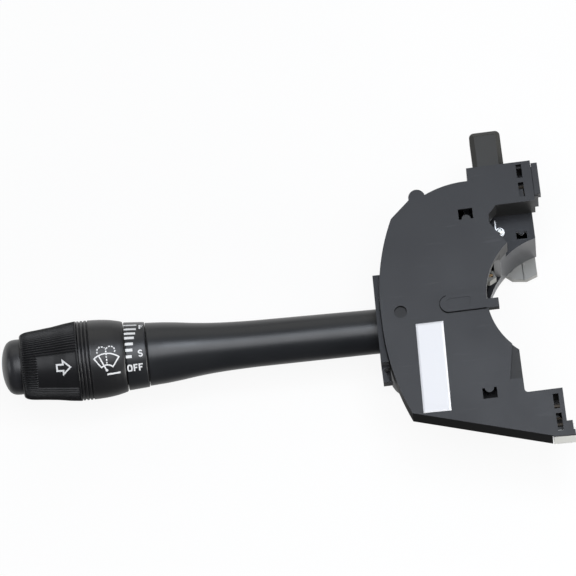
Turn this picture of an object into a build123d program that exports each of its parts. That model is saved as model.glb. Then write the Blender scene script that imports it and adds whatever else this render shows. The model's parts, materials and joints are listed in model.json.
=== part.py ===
from build123d import *
import math
import os

os.makedirs("parts", exist_ok=True)

# Combination stalk switch, in millimetres. The origin lies on the steering column's axis,
# Z points to the driver and the stalk leaves towards -X.

# Levels of the housing along Z
plate_thickness = 4.0
base_floor = 2.4
block_low = 32.0
skirt_low = 37.0
cover_top = 50.0
cover_skin = 2.4
wall = 2.2
floor_top = plate_thickness + base_floor
cover_inner = cover_top - cover_skin
lid_thickness = 1.6

# The steering column that the housing reaches round
column_radius = 31.0

# Top block with the hazard switch and the upper connector, arm with the lower connector
block_left, block_right = -32.6, -4.7
block_bottom, block_head = 42.0, 60.2
arm_right = -3.6
arm_inner, arm_outer = -43.7, -62.3
arm_corner_x = -10.2
arm_corner_radius = 1.6
lip_right, lip_outer = -0.4, -65.3
lip_thickness = 1.2

# Clearances
seat_gap = 0.3
run_clearance = 0.05
slide_clearance = 0.25
lid_clearance = 0.2
pin_clearance = 0.03

# Turn pivot and the stalk's place
pivot_x, pivot_y = -68.8, -0.7
stalk_z = 24.0
stalk_skew = 1.6
turn_angle = 14.0

# Flange that frames the stalk, in the stalk's own skewed frame, and the block below it
gate_reach = 10.6
gate_upper, gate_lower = 18.8, -20.7
gate_depth = 4.0
block_end = -28.8

# Turn carrier, round the pivot
carrier_low = stalk_z - 10.5
carrier_top = stalk_z + 12.0
carrier_plate = 2.5
carrier_back = 3.8
carrier_reach = 24.0
cheek_reach = 8.0
cheek_thickness = 2.8
tail_half_width = 6.0
tail_half_height = 4.8
cheek_inner = tail_half_width + 0.4
cheek_outer = cheek_inner + cheek_thickness
trunnion_radius = 4.0
trunnion_length = 5.0
cross_pin_radius = 2.0

# Detent of the turn lever
plunger_z = stalk_z - 2.5
plunger_radius = 2.5
plunger_reach = 26.4
plunger_bore_start = 13.2
plunger_length = plunger_reach - plunger_bore_start - 4.3
cam_half_height = 4.5
cam_half_width = 10.4
cam_depth = 5.6
cam_back = plunger_reach + cam_depth

# Contact board with the turn and beam contacts
board_thickness = 1.8
board_low = floor_top + 0.8
board_top = board_low + board_thickness
drive_pin_radius = 1.5
drive_pin_reach = 18.0
slider_half_width = 5.2
slider_half_length = 6.5
strip_pitch = 2.7
beam_reach = 9.0
beam_radius = 2.0
beam_head = 0.9
beam_top = stalk_z - tail_half_height - seat_gap

# Stalk, measured outwards from the turn pivot
tube_start = 7.5
tube_length = 105.9
tube_end = tube_start + tube_length
tube_root_radius, tube_end_radius = 9.7, 14.0
channel_radius = 3.2
spigot_radius = 6.5
ring_length = 7.3
ring_end = tube_end + ring_length
collar_length = 19.8
collar_start = ring_end + seat_gap
collar_end = collar_start + collar_length
collar_bore = 13.3
grip_length = 25.2
grip_start = collar_end + seat_gap
grip_end = grip_start + grip_length
button_stand = 8.6
button_tip = grip_end + button_stand
button_radius = 12.1
button_skirt = 10.6
button_travel = 3.5
rib_count = 90
rib_depth = 0.55
panel_from, panel_to = -77.0, -17.0
panel_length = 17.9
knob_stops = (0, 22, 33, 44, 56, 67, 78, 95)

# Wiper switch inside the stalk's end and the knob
core_radius = 10.9
core_start = tube_end - 11.9
head_radius = 12.6
head_length = 4.3
head_end = ring_end + head_length
wiper_board_thickness = 1.4
web_start = head_end + 4.0
web_thickness = 2.4
spindle_radius = 5.0
spindle_bore = 3.2
spindle_end = collar_end + 14.6
ball_radius = 1.2
ball_q = collar_start + 2.0
wire_radius = 0.8

# Hazard button
hazard_x = -22.8
hazard_width = 13.4
hazard_low = block_low + lid_thickness + 2.3
hazard_high = cover_inner - seat_gap
hazard_depth = hazard_high - hazard_low
hazard_z = (hazard_low + hazard_high) / 2
hazard_stand = 16.8
hazard_travel = 5.0
hazard_bevel = 2.0
slide_front = block_head - 4.2
slide_length = 6.0
hazard_bore_radius = 2.6

# Screws and mounting inserts
screw_radius = 1.5
pilot_radius = 1.55
screw_head_radius = 2.8
screw_head_height = 1.8
screw_places = ((-60.5, 38.5), (-29.2, 40.0), (-70.2, -18.6), (-34.5, -19.4))
insert_x = -40.0
insert_ys = (44.0, -16.0)
insert_radius = 4.2
insert_bore = 2.5
insert_length = 8.0

# Connectors
pin_pitch = 2.8
pin_count = 4
pin_width = 1.0
pin_thickness = 0.6
upper_pin_start = hazard_x + hazard_width / 2 + 0.5
upper_pin_tip = block_right - 0.2
lower_pin_start = arm_right - 13.2
lower_pin_tip = arm_right - 1.3
upper_pins_y = (block_bottom + block_head) / 2
upper_pins_z = 37.2
lower_pins_y, lower_pins_z = -53.2, 40.4

# Cancel pawl
pawl_x, pawl_y = -39.5, 19.0
pawl_low, pawl_top = 28.0, 34.0
pawl_pin_radius = 1.5
pawl_hub_radius = 3.6
notch_low, notch_high = 5.5, 21.0

# Bright pin in the recess beside the column
anchor_x, anchor_y = -21.3, 34.6
anchor_radius = 1.2


def prism(sketch, low, high):
    return extrude(Pos(0, 0, low) * sketch, high - low, dir=(0, 0, 1))


def outline(*points):
    return Polygon(*points, align=None)


def box(x0, x1, y0, y1, z0, z1):
    return Pos((x0 + x1) / 2, (y0 + y1) / 2, (z0 + z1) / 2) * Box(x1 - x0, y1 - y0, z1 - z0)


def rod(x, y, low, high, radius):
    return Pos(x, y, (low + high) / 2) * Cylinder(radius, high - low)


def reach(q0, q1, radius, height=0.0):
    # a round bar along the stalk, from q0 to q1 outwards of the pivot
    return Pos(-(q0 + q1) / 2, 0, height) * Rot(0, 90, 0) * Cylinder(radius, abs(q1 - q0))


def turned(points):
    # revolves (distance from the pivot, radius) points about the stalk's axis
    return revolve(outline(*[(-q, r) for q, r in points]), Axis.X)


def sleeve(q0, q1, inner, outer):
    return turned([(q0, inner), (q0, outer), (q1, outer), (q1, inner)])


def coil(radius, wire, turns, low, high):
    # a compression spring of square wire along Z
    path = Helix(pitch=(high - low - wire) / turns, height=high - low - wire, radius=radius)
    section = Plane(origin=path @ 0, z_dir=path % 0) * Rectangle(wire, wire)
    spring = sweep(section, path=path, is_frenet=True)
    span = spring.bounding_box()
    return Pos(0, 0, (low + high) / 2 - (span.min.Z + span.max.Z) / 2) * spring


def at_pivot(height=0.0):
    return Location((pivot_x, pivot_y, height), (0, 0, -stalk_skew))


def save(shape, name):
    export_step(shape, f"parts/{name}.step")


# Housing


def left_side():
    # the bulged side round the pivot, seen from the front
    return ThreePointArc((-77.2, -3.0), (-75.4, 19.0), (-67.8, 41.6))


def cover_outline():
    drop = ThreePointArc((-69.2, -46.7), (-75.6, -25.0), (-77.2, -3.0))
    shoulder = Line((-67.8, 41.6), (-59.1, 49.1))
    ear = ThreePointArc((-59.1, 49.1), (-55.8, 53.4), (-51.9, 50.6))
    top = ThreePointArc((-51.9, 50.6), (-43.4, 53.4), (block_left, 54.4))
    rest = Polyline(
        (block_left, 54.4),
        (block_left, block_head),
        (block_right, block_head),
        (block_right, block_bottom + 0.4),
        (-21.9, block_bottom),
        (-25.6, 38.1),
        (-25.6, 34.3),
        (-19.0, 24.2),
        (-19.9, -23.0),
        (-19.9, arm_inner),
        (arm_right, arm_inner),
        (arm_right, arm_outer),
        (arm_corner_x, arm_outer - 2.3),
        (-60.6, -49.4),
        (-69.2, -46.7),
    )
    face = make_face(drop + left_side() + shoulder + ear + top + rest)
    inner_corner = face.vertices().sort_by_distance((-19.9, arm_inner, 0))[0]
    return fillet(inner_corner, arm_corner_radius) - Circle(column_radius)


def base_outline():
    corner = ThreePointArc((-72.0, -24.0), (-75.0, -21.7), (-76.4, -17.5))
    drop = ThreePointArc((-76.4, -17.5), (-76.95, -10.5), (-77.2, -3.0))
    shoulder = Line((-67.8, 41.6), (-52.3, 49.1))
    top = ThreePointArc((-52.3, 49.1), (-43.4, 53.2), (-33.4, 54.0))
    rest = Polyline(
        (-33.4, 54.0),
        (-33.4, 44.6),
        (-6.3, 44.6),
        (-6.3, 24.0),
        (-19.0, -24.0),
        (-72.0, -24.0),
    )
    return make_face(corner + drop + left_side() + shoulder + top + rest) - Circle(column_radius)


def high_part():
    # the part of the base that reaches up to the cover's skirt
    return outline(
        (-90, -24), (-90, 70), (-26, 70), (-26, 33.8), (-20.0, 24.8), (-19.9, -24)
    )


def block_inside(margin=0.0):
    # the hollow of the top block, less a margin, as x and y limits
    return (
        block_left + wall + margin,
        block_right - wall - margin,
        block_bottom + wall + margin,
        block_head - wall - margin,
    )


def front_cover():
    whole = cover_outline()
    inside = offset(whole, -wall)
    cover = prism(whole, skirt_low, cover_top)
    cover -= prism(inside, skirt_low - 1, cover_inner)
    cover += box(block_left, block_right, block_bottom, block_head, block_low, cover_top)
    cover -= box(*block_inside(), block_low - 1, cover_inner)
    # the wall between the block and the skirt is open for the wires
    cover -= box(block_left + wall, -26.6, block_bottom - 2, 46, block_low - 1, cover_inner)
    # the lug is a thin ear without a skirt, but the wall beside it stays
    side_wall = prism(base_outline(), skirt_low - 2, cover_top)
    cover -= rod(-55.6, 50.2, skirt_low - 1, cover_top - 4, 5.2) - side_wall
    # columns for the screws, the upper bearing of the turn carrier and the pawl's upper seat
    for x, y in screw_places:
        cover += rod(x, y, skirt_low, cover_inner, 2 * pilot_radius + 0.1)
        cover -= rod(x, y, skirt_low - 1, cover_top - 5.5, pilot_radius)
    bearing_low = carrier_top + seat_gap
    cover += rod(pivot_x, pivot_y, bearing_low, cover_inner, trunnion_radius + 2.0)
    hole_top = carrier_top + trunnion_length + 0.5
    cover -= rod(pivot_x, pivot_y, bearing_low - 1, hole_top, trunnion_radius + run_clearance)
    cover += rod(pawl_x, pawl_y, pawl_top + 6.4, cover_inner, pawl_pin_radius + 1.9)
    cover -= rod(pawl_x, pawl_y, pawl_top + 5, cover_top - 3.1, pawl_pin_radius + pin_clearance)
    cover -= cover_openings()
    cover += raised_bar()
    cover -= rod(pivot_x, pivot_y, cover_top - 1.6, cover_top + 1, 2.8)
    cover -= arm_relief()
    return cover + corner_lip()


def cover_openings():
    gone = window(-35.35, 39.7, 1)
    gone += window(-34.9, -42.0, -1)
    # narrow slots over the latches of both connectors
    for x0, x1, y0, y1 in (
        (-11.1, -8.7, 52.9, 59.0),
        (-11.1, -8.7, 44.4, 50.8),
        (-8.2, -5.7, -52.7, -46.0),
        (-7.9, -5.4, -61.0, -54.8),
    ):
        gone += box(x0, x1, y0, y1, cover_inner - 0.5, cover_top + 1)
    # the hazard button's opening and the mouths of both connectors
    half = hazard_width / 2 + slide_clearance
    deep = hazard_depth / 2 + slide_clearance
    front = block_head - wall - 1
    gone += box(hazard_x - half, hazard_x + half, front, block_head + 2, hazard_z - deep, hazard_z + deep)
    low, high = block_inside()[2:]
    gone += box(block_right - wall - 1, block_right + 1, low, high, block_low - 1, cover_inner)
    low, high = lower_shell_sides()
    gone += box(arm_right - 3.4, arm_right + 1, low - 1.4, high + 0.6, skirt_low - 1, cover_inner)
    gone += corner_wedge(slide_clearance, skirt_low - 1, cover_top - lip_thickness)
    # the cancel pawl's opening in the wall round the column
    inner, outer = -column_radius - 1, 13 - column_radius
    gone += box(inner, outer, notch_low, notch_high, skirt_low - 1, cover_top - 4.5)
    return gone


def window(x, y, side):
    # a small window with a rounded tongue on one side
    hole = Rectangle(6.3, 4.8) - Pos(0, -2.4 * side) * Circle(2.0)
    return prism(Pos(x, y) * hole, cover_inner - 0.5, cover_top + 1)


def raised_bar():
    half, start = 3.8, -47.7
    edge = -column_radius
    bar = Pos(start, 0) * Circle(half) + outline((start, half), (edge, half), (edge, -half), (start, -half))
    hook_tip = edge + 5.0
    hook = outline((edge - 0.6, 0.1), (hook_tip, 0.1), (hook_tip, -3.9), (edge - 1.4, -3.9))
    top = cover_top + 0.8
    return prism(bar, cover_top - 0.6, top) + prism(hook, cover_top - 3.6, top)


def arm_relief():
    facet = outline((-22.6, -21.0), (-25.5, -37.0), (-18.0, -37.3), (-18.0, -21.0))
    return prism(facet, cover_top - 1.6, cover_top + 1)


def corner_lip():
    # the skin runs out over the lower connector in two steps
    lip = outline(
        (arm_corner_x, arm_outer + 2.3),
        (arm_right - 1, arm_outer + 3.6),
        (lip_right - 0.7, arm_outer + 3.6),
        (lip_right - 0.7, arm_outer - 0.6),
        (lip_right, arm_outer - 0.6),
        (lip_right, lip_outer - 0.1),
        (arm_corner_x, arm_outer - 2.7),
    )
    return prism(lip, cover_top - lip_thickness, cover_top)


def corner_wedge(grow, low, high):
    # the arm's outer corner, where the lower connector's facet shows
    left, top = arm_corner_x - grow, arm_outer + 2.3 + grow
    return prism(outline((left, arm_outer - 4), (left, top), (1, top), (1, arm_outer - 4)), low, high)


def base_housing():
    whole = base_outline()
    inside = offset(whole, -wall, kind=Kind.INTERSECTION)
    tray = prism(whole, plate_thickness, block_low)
    tray += prism(whole & high_part(), block_low, skirt_low)
    hollow = prism(inside, floor_top, block_low - wall)
    hollow += prism(inside & Pos(-wall, 0) * high_part(), block_low - wall - 1, skirt_low + 1)
    tray -= hollow
    tray += stalk_gate()
    tray -= gate_opening()
    # bearing of the carrier, pedestal of the detent block and post of the pawl
    bearing_top = carrier_low - seat_gap
    tray += rod(pivot_x, pivot_y, floor_top - 1, bearing_top, trunnion_radius + 2.8)
    hole_low = carrier_low - trunnion_length - 1
    tray -= rod(pivot_x, pivot_y, hole_low, carrier_low + 1, trunnion_radius + run_clearance)
    pedestal_top = plunger_z - cam_half_height
    tray += at_pivot() * box(cam_back - 3.2, cam_back, -8.5, 8.5, floor_top - 1, pedestal_top)
    tray += rod(pawl_x, pawl_y, floor_top - 1, pawl_low - seat_gap, pawl_pin_radius + 1.7)
    tray -= rod(pawl_x, pawl_y, pawl_low - 6, pawl_low, pawl_pin_radius + pin_clearance)
    # columns for the screws and the inserts, ribs under the contact board
    for x, y in screw_places:
        tray += rod(x, y, floor_top - 1, skirt_low, 2 * screw_radius + 0.6)
    for y in insert_ys:
        insert_top = plate_thickness + insert_length + 1.5
        tray += rod(insert_x, y, floor_top - 1, insert_top, insert_radius + 2)
    for y in (-14.0, 14.0, 30.0):
        tray += box(-58, -46, y - 0.8, y + 0.8, floor_top - 1, board_low)
    for x, y in screw_places:
        tray -= rod(x, y, plate_thickness - 1, skirt_low + 1, screw_radius + seat_gap)
    for y in insert_ys:
        tray -= rod(insert_x, y, plate_thickness - 1, plate_thickness + insert_length, insert_radius)
    # room for the top block's walls and for the pawl
    tray -= box(block_left - seat_gap, -25, block_bottom - seat_gap, 46, block_low, skirt_low + 1)
    inner, outer = -column_radius - 2, 13 - column_radius
    tray -= box(inner, outer, notch_low, notch_high, 12.0, skirt_low + 1)
    tray -= shelf_window()
    tray -= rod(anchor_x, anchor_y, block_low - 8, block_low + 1, anchor_radius)
    return tray


def stalk_gate():
    # the flange that frames the stalk, and the notched block below it
    high = cover_top - gate_depth
    side = outline(
        (gate_upper, 8), (gate_upper, high), (gate_lower, high), (gate_lower, 33), (-12.8, 8)
    )
    flange = extrude(Plane.YZ.offset(-gate_reach) * side, 5.8, dir=(1, 0, 0))
    gate = at_pivot() * flange
    gate += box(-79.9, -75.8, block_end, gate_lower, skirt_low - 2, high - 5)
    notch = outline((-79.0, -23.3), (-76.0, -21.9), (-74.8, -28.6), (-77.0, -28.4), (-78.4, -24.0))
    gate -= prism(notch, skirt_low - 3, high)
    gate -= prism(offset(cover_outline(), slide_clearance), skirt_low, cover_top)
    return gate - at_pivot() * box(-6.2, 0, gate_lower + 1.6, gate_upper - 1, 7, skirt_low + 1)


def gate_opening():
    hole = RectangleRounded(26.6, 22.2, 8.8)
    place = Location((-76, pivot_y, stalk_z + 0.7), (0, 90, 0)) * Rot(0, 0, 90)
    return extrude(place * hole, 6, both=True)


def shelf_window():
    hole = Rectangle(4.6, 3.2) - Pos(0, 1.6) * Circle(1.1)
    return prism(Pos(-12.0, 32.4) * hole, block_low - wall - 0.5, block_low + 1)


def rear_plate():
    plate_face = offset(base_outline(), -0.6, kind=Kind.INTERSECTION)
    foot = outline((-6.9, 36), (-6.9, 22.4), (-11.8, 20.7), (-18.0, 21.5), (-21.0, 24), (-26, 29))
    plate = prism(plate_face, 0, plate_thickness) + prism(foot, 0, plate_thickness)
    for x, y in screw_places:
        plate -= rod(x, y, -1, plate_thickness + 1, screw_radius + seat_gap)
        plate -= rod(x, y, -1, screw_head_height + 0.2, screw_head_radius + seat_gap)
    for y in insert_ys:
        plate -= rod(insert_x, y, -1, plate_thickness + 1, insert_bore + 0.6)
    # lightening pockets, open to the back, with a web between them
    for x0, x1 in ((-66.0, -52.0), (-49.0, -37.0)):
        for y0, y1 in ((20.0, 34.0), (-6.0, 14.0)):
            plate -= box(x0, x1, y0, y1, -1, plate_thickness - 1.8)
    return plate


def mounting_inserts():
    parts = []
    for y in insert_ys:
        low, high = plate_thickness, plate_thickness + insert_length
        body = rod(insert_x, y, low, high, insert_radius)
        body -= rod(insert_x, y, low - 1, high + 1, insert_bore)
        parts.append(body)
    return Compound(children=parts)


def housing_screws():
    head_low = 0.2
    head_high = head_low + screw_head_height
    slot_half = 0.4
    parts = []
    for x, y in screw_places:
        screw = rod(x, y, head_low, head_high, screw_head_radius)
        screw += rod(x, y, head_high - 0.1, cover_top - 6.0, screw_radius)
        screw -= box(x - 1.9, x + 1.9, y - slot_half, y + slot_half, 0, head_low + 0.7)
        screw -= box(x - slot_half, x + slot_half, y - 1.9, y + 1.9, 0, head_low + 0.7)
        parts.append(screw)
    return Compound(children=parts)


def block_back_cover():
    left, _, low, high = block_inside(lid_clearance)
    lid = box(left, upper_pin_start + 0.2, low, high, block_low, block_low + lid_thickness)
    return lid - box(left - 1, -26, low - 1, 47, block_low - 1, block_low + 3)


def arm_back_cover():
    inside = offset(cover_outline(), -wall - lid_clearance + 0.05)
    low_part = outline((-80, -25.2), (-18, -25.2), (-18, -70), (-80, -70))
    lid = prism(inside & low_part, skirt_low, skirt_low + lid_thickness)
    return lid - corner_wedge(2 * slide_clearance, skirt_low - 1, skirt_low + 3)


# Connectors, contact board and fixed contacts


def upper_connector():
    back = upper_pin_start + 0.6
    _, _, low, high = block_inside(lid_clearance)
    shell_low, shell_top = block_low + 0.2, cover_inner - 0.1
    shell = box(back, block_right + 1.7, low, high, shell_low, shell_top)
    # the rim stands over the mouth, towards the front
    rim_low, rim_top = cover_top - 6, cover_top - 0.8
    shell += box(block_right + 0.2, block_right + 2.9, low + 0.4, high + 1.3, rim_low, rim_top)
    shell -= box(back + 1.5, 0, low + 1.4, high - 1.4, shell_low + 1.8, shell_top - 1.5)
    for slot in pin_slots(upper_pins_y, upper_pins_z, upper_pin_start):
        shell -= slot
    # latch slot over the socket, seen through the cover's slots
    return shell - box(-11.0, -8.8, 53.0, high - 1.4, shell_top - 2.5, cover_top - 2)


def lower_shell_sides():
    return lower_pins_y - 7.0, lower_pins_y + 7.0


def lower_connector():
    low, high = lower_shell_sides()
    floor, ceiling = skirt_low + 0.4, cover_inner - 0.1
    back = lower_pin_start + 0.6
    shell = box(back, arm_right, low, high, floor, ceiling)
    facet = outline(
        (arm_corner_x + 0.2, arm_outer - 2.6),
        (lip_right - 0.1, lip_outer),
        (lip_right - 0.1, low + 0.1),
        (arm_corner_x + 0.2, low + 0.1),
    )
    shell += prism(facet, floor, cover_top - lip_thickness - run_clearance)
    shell -= box(back + 2.6, 1, low + 1.4, high - 1.4, floor + 1.4, ceiling - 1.3)
    for slot in pin_slots(lower_pins_y, lower_pins_z, lower_pin_start):
        shell -= slot
    return shell - box(-8.0, -5.9, high - 6.4, high - 1.8, ceiling - 2.5, cover_top - 2)


def pin_places(middle):
    return [middle + pin_pitch * (i - (pin_count - 1) / 2) for i in range(pin_count)]


def pin_slots(middle, level, start):
    half = pin_width / 2
    top = level + pin_thickness
    return [box(start - 0.2, start + 4, y - half, y + half, level, top) for y in pin_places(middle)]


def terminals(middle, level, start, tip):
    half = pin_width / 2
    parts = []
    for y in pin_places(middle):
        blade = box(start, tip, y - half, y + half, level, level + pin_thickness)
        blade = chamfer(blade.edges().filter_by(Axis.Y).group_by(Axis.X)[-1], 0.2)
        parts.append(blade)
    return Compound(children=parts)


def slider_middle():
    return pivot_x + drive_pin_reach, pivot_y - drive_pin_reach * math.sin(math.radians(stalk_skew))


def contact_board():
    x, _ = slider_middle()
    board = box(pivot_x + 4.8, x + 7.2, -18.0, 33.0, board_low, board_top)
    board -= rod(pivot_x, pivot_y, board_low - 1, board_top + 1, trunnion_radius + 3.2)
    board -= rod(insert_x, insert_ys[1], board_low - 1, board_top + 1, insert_radius + 2.3)
    # rails that guide the turn slider
    near = slider_half_width + slide_clearance
    far = near + 1.05
    rail_top = board_top + 3
    board += box(x - far, x - near, -15, 12, board_top - 1, rail_top)
    board += box(x + near, x + far, -9.6, 12, board_top - 1, rail_top)
    for part in fixed_strips():
        board -= part
    return board - beam_strip()


def fixed_strips():
    x, _ = slider_middle()
    half = 0.7
    strips = []
    for k in (-1, 0, 1):
        middle = x - 0.1 + k * strip_pitch
        strips.append(box(middle - half, middle + half, -14.0, 11.0, board_top - 0.5, board_top))
    return strips


def turn_fixed_contacts():
    return Compound(children=fixed_strips())


def beam_strip():
    # an arc under the beam plunger, so that it works at every turn position
    ring = Circle(beam_reach + 2.0) - Circle(beam_reach - 1.3)
    sector = outline((0, 0), (14, -6.4), (14, 6.4))
    return at_pivot() * prism(ring & sector, board_top - 0.5, board_top)


# Turn carrier and the pieces that it holds


def turn_carrier():
    floor = carrier_low + carrier_plate
    wide = cheek_outer
    carrier = box(-carrier_back, carrier_reach, -wide, wide, carrier_low, floor)
    carrier += box(-carrier_back, cheek_reach, -wide, wide, carrier_top - carrier_plate, carrier_top)
    for side in (-1, 1):
        y0, y1 = sorted((side * cheek_inner, side * cheek_outer))
        carrier += box(-carrier_back, cheek_reach, y0, y1, carrier_low, carrier_top)
    upright = carrier.edges().filter_by(Axis.Z)
    back = upright.group_by(Axis.X)[0].group_by(Axis.Y)
    carrier = fillet(upright.group_by(Axis.X)[-1] + back[0] + back[-1], 2.4)
    carrier += rod(0, 0, carrier_low - trunnion_length - 0.5, carrier_low + 1, trunnion_radius)
    carrier += rod(0, 0, carrier_top - 1, carrier_top + trunnion_length, trunnion_radius)
    # tower with the detent plunger's bore
    half = plunger_radius + 1.9
    tower = box(plunger_bore_start - 1.4, carrier_reach - 0.6, -half, half, floor - 1, plunger_z + half)
    carrier += fillet(tower.edges().filter_by(Axis.X).group_by(Axis.Z)[-1], 2.0)
    carrier -= reach(-plunger_bore_start, -carrier_reach - 1, plunger_radius + run_clearance, plunger_z)
    carrier += rod(drive_pin_reach, 0, board_top + 0.8, carrier_low + 1, drive_pin_radius)
    carrier -= rod(beam_reach, 0, carrier_low - 1, floor + 1, beam_radius + run_clearance)
    pin_hole = Rot(90, 0, 0) * Cylinder(cross_pin_radius + pin_clearance, 30)
    carrier -= Pos(0, 0, stalk_z) * pin_hole
    # relief under the lever's tail at the back
    carrier -= box(-carrier_back - 0.5, -1.5, -4.5, 4.5, carrier_low - 1, floor + 1)
    return at_pivot() * carrier


def cross_pin():
    pin = Cylinder(cross_pin_radius, 2 * cheek_outer + 1.0)
    pin = chamfer(pin.edges(), 0.3)
    return at_pivot(stalk_z) * Rot(90, 0, 0) * pin


def detent_plunger():
    ball = plunger_reach - plunger_radius
    plunger = reach(-plunger_reach + plunger_length, -ball, plunger_radius, plunger_z)
    plunger += Pos(ball, 0, plunger_z) * Sphere(plunger_radius)
    return at_pivot() * plunger


def detent_spring():
    # pressed length, between the bore's end and the plunger at its inner stop
    spring = coil(1.7, 0.5, 3, plunger_bore_start + 0.1, plunger_bore_start + 2.7)
    return at_pivot(plunger_z) * Rot(0, 90, 0) * spring


def detent_block():
    low, high = plunger_z - cam_half_height, plunger_z + cam_half_height
    wide = cam_half_width
    cam = box(plunger_reach - 0.4, cam_back, -wide, wide, low, high)
    cam -= rod(0, 0, low - 1, high + 1, plunger_reach + 0.1)
    seat = plunger_reach - plunger_radius + 0.4
    for angle in (-turn_angle, 0, turn_angle):
        cam -= Rot(0, 0, angle) * rod(seat, 0, low - 1, high + 1, plunger_radius + seat_gap)
    for y0, y1 in ((-wide - 0.1, -wide + 2.2), (wide - 2.2, wide + 0.1)):
        cam -= box(cam_back - 3.4, cam_back + 1, y0, y1, low - 1, high + 1)
    return at_pivot() * cam


def turn_slider():
    x, y = slider_middle()
    wide, long = slider_half_width, slider_half_length
    slider = box(x - wide, x + wide, y - long, y + long, board_top + seat_gap, carrier_low - 0.6)
    slot_half = drive_pin_radius + slide_clearance
    slot_reach = wide - 1.2
    slider -= box(x - slot_reach, x + slot_reach, y - slot_half, y + slot_half, board_top - 1, carrier_low)
    return chamfer(slider.edges().filter_by(Axis.X).group_by(Axis.Z)[-1], 0.6)


def turn_contacts():
    x, y = slider_middle()
    parts = []
    for side in (-1, 1):
        middle = y + side * (slider_half_length - 2.1)
        low, high = board_top + 0.08, board_top + seat_gap
        parts.append(box(x - 3.6, x + 3.4, middle - 0.9, middle + 0.9, low, high))
    return Compound(children=parts)


def beam_plunger():
    plunger = rod(beam_reach, 0, board_top + 1.6, beam_top, beam_radius)
    plunger += rod(beam_reach, 0, beam_top - beam_head, beam_top, beam_radius + 0.6)
    return at_pivot() * plunger


def beam_contact():
    return at_pivot() * rod(beam_reach, 0, board_top + 1.2, board_top + 1.6, beam_radius - 0.1)


def beam_return_spring():
    low = carrier_low + carrier_plate + run_clearance
    high = beam_top - beam_head - run_clearance
    return at_pivot() * Pos(beam_reach, 0, 0) * coil(beam_radius + 0.4, 0.35, 2, low, high)


# Cancel pawl


def cancel_pawl():
    arm = outline((-40.6, 22.0), (-31.0, 19.6), (-26.4, 17.2), (-25.4, 14.2), (-28.4, 12.6), (-40.6, 15.8))
    pawl = prism(arm, pawl_low, pawl_top) + rod(pawl_x, pawl_y, pawl_low, pawl_top, pawl_hub_radius)
    pawl -= rod(pawl_x, pawl_y, pawl_low - 1, pawl_top + 1, pawl_pin_radius + run_clearance)
    tail = outline((-42, 17), (-47, 15.5), (-47, 18.5), (-42, 21))
    pawl += prism(tail, pawl_low + 1, pawl_top - 1)
    pocket = outline((-30.5, 17.9), (-26.7, 15.9), (-26.7, 14.5), (-30.5, 15.3))
    return pawl - prism(pocket, pawl_top - 1.0, pawl_top + 1)


def pawl_contact():
    # a copper strip that lies in the pawl's pocket
    strip = outline((-30.4, 17.6), (-27.6, 16.0), (-27.6, 14.8), (-30.4, 15.6))
    lip = outline((-27.6, 15.9), (-26.9, 15.6), (-26.9, 14.9), (-27.6, 14.9))
    return prism(strip, pawl_top - 1.0, pawl_top - 0.4) + prism(lip, pawl_top - 1.0, pawl_top + 0.6)


def pawl_pin():
    return rod(pawl_x, pawl_y, pawl_low - 5.7, cover_top - 3.4, pawl_pin_radius)


def pawl_spring():
    low = pawl_top + seat_gap
    turns = Pos(pawl_x, pawl_y, 0) * coil(pawl_pin_radius + 0.7, 0.5, 2, low, low + 2.3)
    leg = box(pawl_x - 8.0, pawl_x - 0.4, pawl_y + 1.95, pawl_y + 2.45, low, low + 0.5)
    return turns + leg


# Bright pin with its wire spring in the recess


def anchor_pin():
    pin = rod(anchor_x, anchor_y, block_low - 7.8, block_low + 3.4, anchor_radius)
    pin += rod(anchor_x, anchor_y, block_low, block_low + 0.7, anchor_radius + 0.9)
    return chamfer(pin.edges().group_by(Axis.Z)[-1], 0.4)


def anchor_wire():
    low, high = block_low + 1.0, block_low + 1.6
    outer = anchor_radius + 0.7
    loop = rod(anchor_x, anchor_y, low, high, outer)
    loop -= rod(anchor_x, anchor_y, low - 1, high + 1, anchor_radius + run_clearance)
    return loop + box(anchor_x - outer, anchor_x - outer + 0.55, anchor_y, anchor_y + 5.4, low, high)


# Stalk and what is fixed to it


def stalk_tube():
    # nearly straight, then a waist that opens and closes again before the ring
    low, high = tube_root_radius, tube_end_radius
    neck, waist = (53.4 - tube_end, low + 0.35), (21.4 - tube_end, high - 2.0)
    bulge = (7.4 - tube_end, high - 0.45)
    outer = Line((-tube_start, low), neck)
    outer += ThreePointArc(neck, (33.4 - tube_end, low + 1.05), waist)
    outer += ThreePointArc(waist, (14.4 - tube_end, high - 1.05), bulge)
    outer += Line(bulge, (-tube_end, high))
    inner = Polyline(
        (-tube_end, high),
        (-tube_end, core_radius + run_clearance),
        (0.5 - core_start, core_radius + run_clearance),
        (19.5 - core_start, spigot_radius + 1.1),
        (-tube_start - 16.5, spigot_radius + run_clearance),
        (-tube_start, spigot_radius + run_clearance),
        (-tube_start, low),
    )
    return revolve(make_face(outer + inner), Axis.X)


def lever_tail():
    wide, high = tail_half_width, tail_half_height
    tail = box(0.1 - tube_start, 10.4, -wide, wide, -high, high)
    tail = chamfer(tail.edges().filter_by(Axis.Z).group_by(Axis.X)[-1], 2.5)
    tail += reach(tube_start - 1.5, tube_start + 14.5, spigot_radius)
    tail -= reach(9.0, tube_start + 15.5, channel_radius)
    tail -= Rot(90, 0, 0) * Cylinder(cross_pin_radius + run_clearance, 30)
    # flange that the tube seats on
    return tail + sleeve(tube_start - 0.5, tube_start, channel_radius + 0.2, tube_root_radius - 1.1)


def scale_ring():
    bore = core_radius + run_clearance
    rim = tube_end_radius
    return turned(
        [
            (tube_end, bore),
            (tube_end, rim + 0.1),
            (tube_end + 0.5, rim + 0.3),
            (ring_end, rim + 0.9),
            (ring_end, bore),
        ]
    )


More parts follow.
